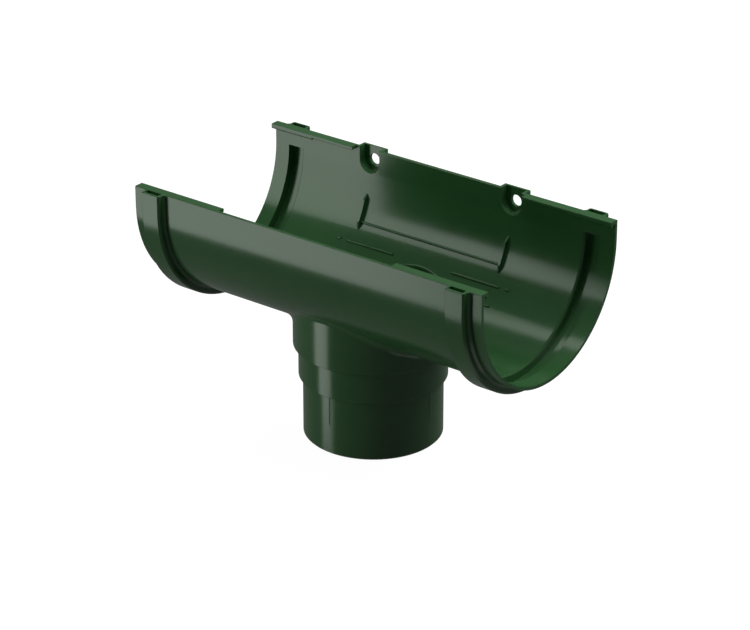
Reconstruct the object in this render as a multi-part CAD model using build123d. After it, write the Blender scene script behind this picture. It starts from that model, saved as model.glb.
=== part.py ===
"""Gutter outlet of a half-round rainwater system, moulded as one piece of green PVC.

A trough of U section takes a gutter in each open end. Near each end a raised band
runs round the outside, hollow inside, and holds the seal groove. Lips on the rim
hook over the gutter's edges, two recessed screw bosses in the back wall fix the
outlet to the fascia board, and a stepped spigot below enters the downpipe.

Frame: X along the gutter, +Y towards the fascia board, Z up. The origin lies on the
spigot's axis at its lower end. All sizes are in millimetres.
"""

import os
from math import cos, hypot, radians, sin, sqrt

from build123d import *

# Trough
trough_length = 240.0  # over both open ends
inner_radius = 61.0  # half-round inside, for a 120 mm gutter
wall = 2.0
rim_straight = 12.0  # upright part of each side above the half-round
rim_round = 0.6  # soft edges of the rim

# Seal bands near the two ends
seal_offset = 9.8  # from the open end to the groove
seal_width = 10.0
seal_depth = 5.3  # groove floor behind the trough's inner face
seal_lead = 1.0  # sloped edge of the groove, on the trough's middle side
band_skin = 1.4  # material behind and beside the groove
band_chamfer = 1.0  # outer edges of the band
band_foot_chamfer = 1.2  # where the band meets the trough wall

# Hooked lips on the rim
lip_length = 60.0  # from the open end
lip_reach = 4.0  # inwards from the trough's inner face
lip_thickness = 2.0
lip_round = 0.4
hook_length = 30.0  # from the open end
hook_thickness = 1.7
hook_drop = 1.2  # below the lip's underside
hook_round = 1.0

# Screw bosses in the back wall
boss_spacing = 100.4  # between the two screw holes
boss_drop = 8.0  # screw hole below the rim
boss_recess_radius = 6.8
boss_recess_depth = 5.0  # from the trough's inner face
boss_recess_edge = 0.4  # sloped edge of the recess on the trough's inner face
boss_side_wall = 1.8
boss_back_wall = 2.0
boss_chamfer = 0.6
screw_hole_diameter = 7.0

# Spigot, from its lower end upwards
collar_radius = 42.5  # flush with the downpipe's outside
sleeve_step = 2.5  # from the collar in to the sleeve, which slides into the downpipe
neck_step = 3.0  # from the collar out to the neck
spigot_wall = 2.0
sleeve_length = 36.0
collar_height = 19.2
neck_length = 9.8  # from the collar to the trough's underside
inner_cone_height = 4.0  # smooth change of bore above each step
step_chamfer = 0.5  # lower edges of collar and neck
sleeve_end_chamfer = 0.8
saddle_round = 5.0  # outside, between neck and trough
drain_round = 2.0  # inside, round the drain hole
crush_rib_count = 4
crush_rib_length = 17.7  # down from the collar
crush_rib_width = 1.0
crush_rib_height = 0.2

# Raised ribs on the inside of the back wall
stop_rib_spacing = 100.4
stop_rib_width = 1.2
stop_rib_height = 2.7
stop_rib_crest = (59.0, 71.9)  # angles from straight down
stop_rib_slope = 3.5  # angle from the crest's upper end to the end of its slope
line_rib_radius = 0.8
level_rib_angle = 59.6
guide_ribs = ((47.8, 20.7), (36.0, 33.0))  # angle, and start beside the spigot's axis
guide_rib_end = 54.1
pip_angle = 47.8
pip_position = 60.1
pip_length = 2.4

# Sizes that follow from those above
outer_radius = inner_radius + wall
half_length = trough_length / 2
sleeve_radius = collar_radius - sleeve_step
neck_radius = collar_radius + neck_step
collar_top = sleeve_length + collar_height
axis_height = collar_top + neck_length + outer_radius
rim_height = axis_height + rim_straight
groove_radius = inner_radius + seal_depth
band_radius = groove_radius + band_skin
boss_height = rim_height - boss_drop
boss_outer_radius = boss_recess_radius + boss_side_wall
recess_floor = inner_radius + boss_recess_depth
boss_back = recess_floor + boss_back_wall
sunk = wall / 2  # how far added pieces reach into the wall that carries them

gutter_axis = Axis((0, 0, axis_height), (1, 0, 0))
spigot_seam = Rot(Z=45)  # keeps the seams of the round faces clear of the ribs


def block(x_range, y_range, z_range):
    """Box between two positions on each axis."""
    low, high = zip(sorted(x_range), sorted(y_range), sorted(z_range))
    sizes = [b - a for a, b in zip(low, high)]
    return Pos(*low) * Box(*sizes, align=Align.MIN)


def section_rectangle(x_range, radius_range):
    """Rectangle of a section whose coordinates are position on X and radius."""
    (x0, x1), (r0, r1) = sorted(x_range), sorted(radius_range)
    return Pos(x0, r0) * Rectangle(x1 - x0, r1 - r0, align=Align.MIN)


def on_front_wall(section):
    """Stand a section (x, radius) upright in the front wall, level with the axis."""
    return Plane((0, 0, axis_height), x_dir=(1, 0, 0), z_dir=(0, 0, -1)) * section


def bend(section):
    """Carry a section round the half-round, from the front wall to the back wall."""
    return revolve(on_front_wall(section), gutter_axis, 180)


def legs(section, height):
    """Carry a section straight up both sides of the trough."""
    front = extrude(on_front_wall(section), height, dir=(0, 0, 1))
    return front + mirror(front, Plane.XZ)


def at_both_ends(piece):
    return piece + mirror(piece, Plane.YZ)


def on_both_sides(piece):
    return piece + mirror(piece, Plane.XZ)


def outer_section():
    """Section along the whole trough from its axis outwards, with both bands raised."""
    section = section_rectangle((-half_length, half_length), (0, outer_radius))
    groove_end = half_length - seal_offset
    band_x = (groove_end - seal_width - band_skin, groove_end + band_skin)
    band = section_rectangle(band_x, (0, band_radius))
    section += at_both_ends(band)
    tops = section.vertices().filter_by_position(Axis.Y, band_radius - 0.01, band_radius + 0.01)
    section = chamfer(tops, band_chamfer)
    feet = section.vertices().filter_by(
        lambda v: abs(v.Y - outer_radius) < 0.01 and abs(v.X) < half_length - 0.01
    )
    return chamfer(feet, band_foot_chamfer)


def groove_cut():
    """Seal groove: open to the inside below the axis, a pocket behind the wall above it."""
    x1 = half_length - seal_offset
    x0 = x1 - seal_width
    pocket = section_rectangle((x0, x1), (outer_radius, groove_radius))
    open_groove = section_rectangle((x0, x1), (inner_radius - wall, groove_radius))
    lead = Polyline(
        (x0 - seal_lead - wall, inner_radius - wall),
        (x0, inner_radius - wall),
        (x0, inner_radius + seal_lead),
        close=True,
    )
    open_groove += make_face(lead)
    return at_both_ends(bend(open_groove) + legs(pocket, rim_straight + wall))


def rounded_rim(trough):
    """Soften the long top edges of both walls."""
    top = trough.faces().filter_by_position(Axis.Z, rim_height - 0.01, rim_height + 0.01)
    edges = [e for e in top.edges() if e.center().X ** 2 < (half_length - 0.01) ** 2]
    return fillet(edges, rim_round)


def lips():
    """Four lips that reach inwards over the gutter's edges, hooked down near the ends."""
    tip = inner_radius - lip_reach
    underside = rim_height - lip_thickness
    plate = block(
        (half_length - lip_length, half_length), (tip, inner_radius + sunk), (underside, rim_height)
    )
    plate = fillet(plate.edges().filter_by(Axis.X).group_by(Axis.Y)[0], lip_round)
    nose = block(
        (half_length - hook_length, half_length),
        (tip, tip + hook_thickness),
        (underside - hook_drop, rim_height - lip_thickness / 2),
    )
    lower = nose.edges().filter_by(Axis.X).group_by(Axis.Z)[0].sort_by(Axis.Y)[0]
    nose = fillet(lower, hook_round)
    return on_both_sides(at_both_ends(plate + nose))


def boss_outline(radius, top):
    """U outline of a screw boss in the XZ plane, round below the screw hole."""
    x, z = boss_spacing / 2, boss_height
    below_top = Pos(x, top - rim_height / 2) * Rectangle(2 * radius, rim_height)
    above_hole = Pos(x, z + rim_height / 2) * Rectangle(2 * radius, rim_height)
    return Plane.XZ * ((Pos(x, z) * Circle(radius) + above_hole) & below_top)


def boss_pads():
    start = outer_radius - sunk
    outline = boss_outline(boss_outer_radius, rim_height)
    pad = Pos(0, start, 0) * extrude(outline, boss_back - start, dir=(0, 1, 0))
    pad = chamfer(pad.edges().group_by(Axis.Y)[-1], boss_chamfer)
    return at_both_ends(pad)


def boss_cuts():
    """Recess that is open to the inside and at the rim, with the screw hole behind it."""
    outline = boss_outline(boss_recess_radius, rim_height + wall)
    recess = extrude(outline, recess_floor, dir=(0, 1, 0))
    mouth_outline = boss_outline(boss_recess_radius + 2 * boss_recess_edge, rim_height + 2 * wall)
    mouth = extrude(mouth_outline, 2 * boss_recess_edge, dir=(0, 1, 0), taper=45)
    recess += Pos(0, inner_radius - boss_recess_edge, 0) * mouth
    hole = Pos(boss_spacing / 2, boss_back, boss_height) * Rot(X=90) * Cylinder(
        screw_hole_diameter / 2, 4 * boss_recess_depth
    )
    return at_both_ends(recess + hole)


def spigot_outside():
    """Solid stepped spigot, reaching up into the half-round of the trough."""
    outline = Polyline(
        (0, 0),
        (sleeve_radius - sleeve_end_chamfer, 0),
        (sleeve_radius, sleeve_end_chamfer),
        (sleeve_radius, sleeve_length),
        (collar_radius - step_chamfer, sleeve_length),
        (collar_radius, sleeve_length + step_chamfer),
        (collar_radius, collar_top),
        (neck_radius - step_chamfer, collar_top),
        (neck_radius, collar_top + step_chamfer),
        (neck_radius, axis_height),
        (0, axis_height),
        close=True,
    )
    return spigot_seam * revolve(Plane.XZ * make_face(outline), Axis.Z)


def spigot_bore():
    """Bore with the same wall all the way, widened by a cone above each step."""
    radii = [r - spigot_wall for r in (sleeve_radius, collar_radius, neck_radius)]
    outline = Polyline(
        (0, -wall),
        (radii[0], -wall),
        (radii[0], sleeve_length),
        (radii[1], sleeve_length + inner_cone_height),
        (radii[1], collar_top),
        (radii[2], collar_top + inner_cone_height),
        (radii[2], axis_height),
        (0, axis_height),
        close=True,
    )
    return spigot_seam * revolve(Plane.XZ * make_face(outline), Axis.Z)


def crush_ribs():
    """Thin rounded ribs that centre the sleeve in the downpipe, as round bars sunk in its wall."""
    bar_radius = (crush_rib_width**2 / 4 + crush_rib_height**2) / (2 * crush_rib_height)
    bar = Cylinder(bar_radius, crush_rib_length, align=(Align.MAX, Align.CENTER, Align.MAX))
    bar = Pos(sleeve_radius + crush_rib_height, 0, sleeve_length) * bar
    return [Rot(Z=360 / crush_rib_count * i) * bar for i in range(crush_rib_count)]


def on_back_wall(radius, angle):
    """Position (y, z) on the back wall's side, by its angle from straight down."""
    turn = radians(angle)
    return radius * sin(turn), axis_height - radius * cos(turn)


def stop_rib():
    """Rib up the inner face of the back wall, with an upright lower end and a sloped upper end."""
    crest = inner_radius - stop_rib_height
    root = inner_radius + sunk
    low, high = stop_rib_crest
    crest_low, crest_middle, crest_high = (
        on_back_wall(crest, angle) for angle in (low, (low + high) / 2, high)
    )
    y0 = crest_low[0]
    root_low = (y0, axis_height - sqrt(root**2 - y0**2))
    slope_end = on_back_wall(inner_radius, high + stop_rib_slope)
    root_high = on_back_wall(root, high + 2 * stop_rib_slope)
    root_middle = on_back_wall(root, (low + high) / 2)
    outline = [
        ThreePointArc(crest_low, crest_middle, crest_high),
        Line(crest_high, slope_end),
        Line(slope_end, root_high),
        ThreePointArc(root_high, root_middle, root_low),
        Line(root_low, crest_low),
    ]
    rib = extrude(Plane.YZ * make_face(Curve() + outline), stop_rib_width / 2, both=True)
    return Pos(stop_rib_spacing / 2, 0, 0) * rib


def line_rib(x_range, angle):
    """Thin half-round rib along the gutter, as a round bar sunk in the back wall."""
    x0, x1 = x_range
    y, z = on_back_wall(inner_radius, angle)
    return Pos((x0 + x1) / 2, y, z) * Rot(Y=90) * Cylinder(line_rib_radius, x1 - x0)


def inner_ribs():
    middle = stop_rib_spacing / 2
    ribs = [at_both_ends(stop_rib()), line_rib((-middle, middle), level_rib_angle)]
    for angle, start in guide_ribs:
        ribs.append(at_both_ends(line_rib((start, guide_rib_end), angle)))
    pip_x = (pip_position - pip_length / 2, pip_position + pip_length / 2)
    ribs.append(at_both_ends(line_rib(pip_x, pip_angle)))
    return ribs


def trough_inside():
    """Everything between the two walls, past both ends and above the rim."""
    section = section_rectangle((-trough_length, trough_length), (0, inner_radius))
    return bend(section) + legs(section, rim_straight + wall)


def where_tubes_meet(body, upright_radius, lying_radius):
    """Edges on both a cylinder round the spigot's axis and one round the gutter's axis."""

    def on_both(edge):
        points = [edge @ share for share in (0.2, 0.5, 0.8)]
        return all(
            abs(hypot(p.X, p.Y) - upright_radius) < 0.01
            and abs(hypot(p.Y, p.Z - axis_height) - lying_radius) < 0.01
            for p in points
        )

    return body.edges().filter_by(on_both)


def gutter_outlet():
    section = outer_section()
    body = bend(section) + legs(section, rim_straight) + spigot_outside()
    body = fillet(where_tubes_meet(body, neck_radius, outer_radius), saddle_round)
    body -= trough_inside()
    body -= spigot_bore()
    drain_edge = where_tubes_meet(body, neck_radius - spigot_wall, inner_radius)
    body = rounded_rim(fillet(drain_edge, drain_round))
    body += [lips(), boss_pads(), *crush_ribs(), *inner_ribs()]
    return body - groove_cut() - boss_cuts()


outlet = gutter_outlet()
os.makedirs("parts", exist_ok=True)
export_step(outlet, "parts/gutter_outlet.step")
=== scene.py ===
"""Gutter outlet of glossy green PVC, standing on its spigot on a pale floor under soft studio light.

The part's axes are X along the gutter, +Y towards the fascia board and Z up, in metres,
with the origin on the spigot's axis at its lower end.
"""

from math import radians

import bpy
import numpy as np
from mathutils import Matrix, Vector

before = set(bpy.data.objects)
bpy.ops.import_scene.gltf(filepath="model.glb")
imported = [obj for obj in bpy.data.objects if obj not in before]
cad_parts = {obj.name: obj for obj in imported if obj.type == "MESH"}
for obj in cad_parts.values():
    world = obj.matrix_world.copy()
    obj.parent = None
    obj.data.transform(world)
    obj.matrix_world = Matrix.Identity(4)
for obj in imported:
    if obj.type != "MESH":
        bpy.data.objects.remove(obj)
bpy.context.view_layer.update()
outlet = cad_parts["gutter_outlet"]
MM = 0.001

# Camera of the photograph. Lens and sensor are in millimetres, as Blender takes them.
CAMERA_PLACE = Vector((977.12, -1257.22, 816.69)) * MM
CAMERA_AIM = Vector((1.18, 0.0, 71.60)) * MM
CAMERA_LENS = 150.06
SENSOR_WIDTH = 36.0

# Pigment at its deepest and palest, in linear colours, and the size of its clouds as a noise scale
DEEP_GREEN = (0.030, 0.105, 0.033, 1.0)
PALE_GREEN = (0.041, 0.138, 0.045, 1.0)
CLOUD_SCALE = 28.0

# Surface of the moulding. Its roughness is the least one plus the spread times the clouds.
PVC_IOR = 1.5
GLOSS_TINT = (0.9, 1.0, 0.9, 1.0)
LEAST_ROUGHNESS = 0.15
ROUGHNESS_SPREAD = 0.06
PEEL_SCALE = 420.0
PEEL_STRENGTH = 0.03
PEEL_DEPTH = 0.2 * MM

# Backdrop: the share of its white that gloss shows, the room's light and the floor's two layers
WHITE = (1.0, 1.0, 1.0, 1.0)
GLOSS_SHARE = 0.12
ROOM_LIGHT = 0.03
FLOOR_GLOW = 0.97
FLOOR_GREY = (0.15, 0.15, 0.15, 1.0)
FLOOR_RADIUS = 4.0

# Softboxes: where each one's middle stands, its width and height, its radiance and its tilt
SOFTBOXES = {
    "tall_left": dict(
        azimuth=-131.25, distance=1.4, level=0.142, size=(0.56, 1.695), radiance=2.6, tilt=0.0
    ),
    "above": dict(
        azimuth=0.0, distance=0.0, level=1.08, size=(0.54, 0.28), radiance=3.4, tilt=90.0
    ),
    "above_left": dict(
        azimuth=178.0, distance=0.39, level=1.0, size=(0.21, 0.35), radiance=2.1, tilt=67.0
    ),
    "above_right": dict(
        azimuth=25.0, distance=0.515, level=0.937, size=(0.72, 0.39), radiance=2.5, tilt=59.0
    ),
    "behind": dict(
        azimuth=75.0, distance=0.89, level=0.883, size=(1.2, 0.73), radiance=4.0, tilt=42.0
    ),
    "below": dict(
        azimuth=-5.0, distance=0.42, level=-0.42, size=(0.5, 0.3), radiance=0.33, tilt=-90.0
    ),
}


class Value:
    """A number that varies over a surface. Sums and products of values add Math nodes."""

    def __init__(self, material, socket):
        self.material = material
        self.socket = socket

    def _math(self, operation, other):
        return self.material.node("ShaderNodeMath", {"operation": operation}, {0: self, 1: other})

    def __add__(self, other):
        return self._math("ADD", other)

    def __mul__(self, other):
        return self._math("MULTIPLY", other)


class Material:
    """A new node material, or the world given as data, that is filled by node()."""

    def __init__(self, name, data=None):
        self.data = data or bpy.data.materials.new(name)
        self.data.use_nodes = True
        self.tree = self.data.node_tree
        self.tree.nodes.clear()

    def node(self, kind, settings=None, inputs=None, output=0):
        """Adds a node: settings first, then numbers, colours or links for its sockets."""
        node = self.tree.nodes.new(kind)
        for name, setting in (settings or {}).items():
            setattr(node, name, setting)
        for key, value in (inputs or {}).items():
            if isinstance(value, Value):
                self.tree.links.new(value.socket, node.inputs[key])
            else:
                node.inputs[key].default_value = value
        if not node.outputs:
            return None
        return Value(self, node.outputs[output])


def moulded_pvc():
    """Glossy moulded PVC: pigment and roughness that cloud slightly, and a faint orange peel."""
    pvc = Material("green_pvc")
    place = pvc.node("ShaderNodeTexCoord", output="Object")
    clouds = pvc.node(
        "ShaderNodeTexNoise",
        inputs={"Vector": place, "Scale": CLOUD_SCALE, "Detail": 3.0, "Roughness": 0.6},
    )
    peel = pvc.node(
        "ShaderNodeTexNoise",
        inputs={"Vector": place, "Scale": PEEL_SCALE, "Detail": 1.0},
    )
    green = pvc.node(
        "ShaderNodeMix",
        {"data_type": "RGBA"},
        {"Factor": clouds, "A": DEEP_GREEN, "B": PALE_GREEN},
        output="Result",
    )
    relief = pvc.node(
        "ShaderNodeBump",
        inputs={"Height": peel, "Strength": PEEL_STRENGTH, "Distance": PEEL_DEPTH},
    )
    shade = pvc.node(
        "ShaderNodeBsdfPrincipled",
        inputs={
            "Base Color": green,
            "Roughness": clouds * ROUGHNESS_SPREAD + LEAST_ROUGHNESS,
            "IOR": PVC_IOR,
            "Specular Tint": GLOSS_TINT,
            "Normal": relief,
        },
    )
    pvc.node("ShaderNodeOutputMaterial", inputs={"Surface": shade})
    return pvc.data


def seen_white(material, plain):
    """Strength of a backdrop: 1 for the camera and through glass, a touch in gloss, else plain.

    It is (camera + transmission + glossy times GLOSS_SHARE) times (1 - plain), plus plain.
    """
    camera, transmission, glossy = (
        material.node("ShaderNodeLightPath", output=ray)
        for ray in ("Is Camera Ray", "Is Transmission Ray", "Is Glossy Ray")
    )
    return (camera + transmission + glossy * GLOSS_SHARE) * (1.0 - plain) + plain


def pale_floor():
    """White floor: a glow that lights nothing, added to a matt layer that takes the shadow."""
    paper = Material("pale_floor")
    strength = seen_white(paper, 0.0) * FLOOR_GLOW
    glow = paper.node("ShaderNodeEmission", inputs={"Color": WHITE, "Strength": strength})
    matt = paper.node("ShaderNodeBsdfDiffuse", inputs={"Color": FLOOR_GREY})
    both = paper.node("ShaderNodeAddShader", inputs={0: glow, 1: matt})
    paper.node("ShaderNodeOutputMaterial", inputs={"Surface": both})
    return paper.data


def floor_disc(radius, count=96):
    """Flat disc at height zero: one face whose corners are radius times (cos t, sin t)."""
    turn = np.linspace(0, 2 * np.pi, count, endpoint=False)
    ring = np.stack([radius * np.cos(turn), radius * np.sin(turn), np.zeros(count)], axis=1)
    mesh = bpy.data.meshes.new("floor")
    mesh.from_pydata(ring.tolist(), [], [list(range(count))])
    mesh.materials.append(pale_floor())
    disc = bpy.data.objects.new("floor", mesh)
    bpy.context.scene.collection.objects.link(disc)
    return disc


def softbox(name, azimuth, distance, level, size, radiance, tilt):
    """Rectangular lamp that faces the object. Its watts are radiance times pi times its area.

    Its middle is distance away from the Z axis in the direction azimuth, at the height level.
    Untilted it faces that axis levelly. A tilt of 90 degrees makes it face down, -90 up.
    """
    width, height = size
    data = bpy.data.lights.new(name, "AREA")
    data.shape = "RECTANGLE"
    data.size = width
    data.size_y = height
    data.energy = radiance * np.pi * width * height
    lamp = bpy.data.objects.new(name, data)
    turn = radians(azimuth)
    lamp.location = (distance * np.cos(turn), distance * np.sin(turn), level)
    lamp.rotation_euler = (radians(90.0 - tilt), 0.0, turn + radians(90.0))
    lamp.visible_camera = False
    bpy.context.scene.collection.objects.link(lamp)
    return lamp


def studio():
    """Pale floor and room, and softboxes at the left, above, behind and below.

    The tall one at the left reaches below the floor, which lets light and reflections through,
    as a clear table would, so that its image runs down the whole spigot. The one behind only
    brightens the upward faces, so gloss doesn't show it.
    """
    floor = floor_disc(FLOOR_RADIUS)
    floor.visible_glossy = False
    floor.visible_shadow = False
    lamps = {name: softbox(name, **place) for name, place in SOFTBOXES.items()}
    lamps["behind"].visible_glossy = False
    room = Material("room", bpy.data.worlds.new("room"))
    bpy.context.scene.world = room.data
    strength = seen_white(room, ROOM_LIGHT)
    shade = room.node("ShaderNodeBackground", inputs={"Color": WHITE, "Strength": strength})
    room.node("ShaderNodeOutputWorld", inputs={"Surface": shade})


def photo_camera():
    """Camera at the photograph's place and angle."""
    data = bpy.data.cameras.new("camera")
    data.sensor_width = SENSOR_WIDTH
    data.lens = CAMERA_LENS
    camera = bpy.data.objects.new("camera", data)
    camera.location = CAMERA_PLACE
    camera.rotation_euler = (CAMERA_AIM - CAMERA_PLACE).to_track_quat("-Z", "Y").to_euler()
    bpy.context.scene.collection.objects.link(camera)
    bpy.context.scene.camera = camera


outlet.data.materials.clear()
outlet.data.materials.append(moulded_pvc())
studio()
photo_camera()
bpy.context.scene.view_settings.view_transform = "Standard"
